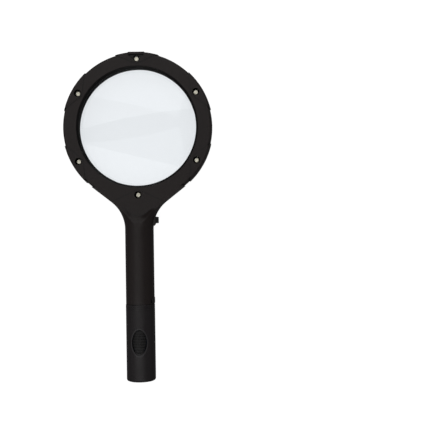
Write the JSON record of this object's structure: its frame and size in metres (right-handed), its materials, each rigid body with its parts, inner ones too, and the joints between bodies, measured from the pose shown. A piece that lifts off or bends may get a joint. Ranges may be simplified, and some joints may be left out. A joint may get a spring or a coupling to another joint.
{
  "type": "lighted hand magnifier",
  "caption": "Round low vision hand magnifier with lights round the lens, a tubular battery handle, a push switch on the neck and a pull-off battery sleeve.",
  "frame": {"origin": "on the table under the middle of the whole object's box, with the object lying on its back", "axes": "+Y along the handle towards the tip of the ring, +Z out of the lit face, +X towards the switch side"},
  "size_m": [0.1124, 0.2474, 0.0221],
  "materials": {
    "shell_plastic": "fine satin moulded ABS, near black",
    "sleeve_plastic": "fine satin moulded ABS, near black, a shade cooler",
    "pad_plastic": "satin ribbed ABS",
    "button_plastic": "polished black",
    "lens_glass": "polished clear",
    "led_clear": "clear epoxy over a yellow phosphor",
    "board": "black solder mask",
    "board_green": "green solder mask",
    "component": "matt",
    "switch_plastic": "moulded",
    "screw_steel": "zinc plated",
    "contact_metal": "nickel plated strip",
    "spring_steel": "nickel plated wire",
    "cell_jacket": "printed foil jacket without markings",
    "lead_red": "insulated",
    "lead_black": "insulated"
  },
  "bodies": {
    "body": {"battery_lead": "lead_black", "battery_lower": "cell_jacket", "battery_upper": "cell_jacket", "front_shell": "shell_plastic", "led_1": "led_clear", "led_2": "led_clear", "led_3": "led_clear", "led_4": "led_clear", "led_5": "led_clear", "led_6": "led_clear", "led_board": "board", "led_lead_black": "lead_black", "led_lead_red": "lead_red", "lens": "lens_glass", "positive_contact": "contact_metal", "rear_shell": "shell_plastic", "resistor": "component", "shell_screws": "screw_steel", "switch_board": "board_green", "switch_body": "switch_plastic", "tube_strip": "contact_metal"},
    "switch": {"switch_button": "button_plastic"},
    "sleeve": {"battery_sleeve": "sleeve_plastic", "spring_plate": "contact_metal", "sleeve_strip": "contact_metal", "battery_spring": "spring_steel", "release_spring": "spring_steel"},
    "release": {"release_button": "pad_plastic"}
  },
  "joints": [
    {"name": "switch_press", "type": "slide", "parent": "body", "child": "switch", "axis": [-1, 0, 0], "range_m": [0, 0.0019], "stiffness_N_per_m": 400},
    {"name": "sleeve_slide", "type": "slide", "parent": "body", "child": "sleeve", "axis": [0, -1, 0], "range_m": [0, 0.06]},
    {"name": "release_press", "type": "slide", "parent": "sleeve", "child": "release", "axis": [0, 0, -1], "range_m": [0, 0.0008], "stiffness_N_per_m": 600, "deforming": ["release_spring"]}
  ]
}
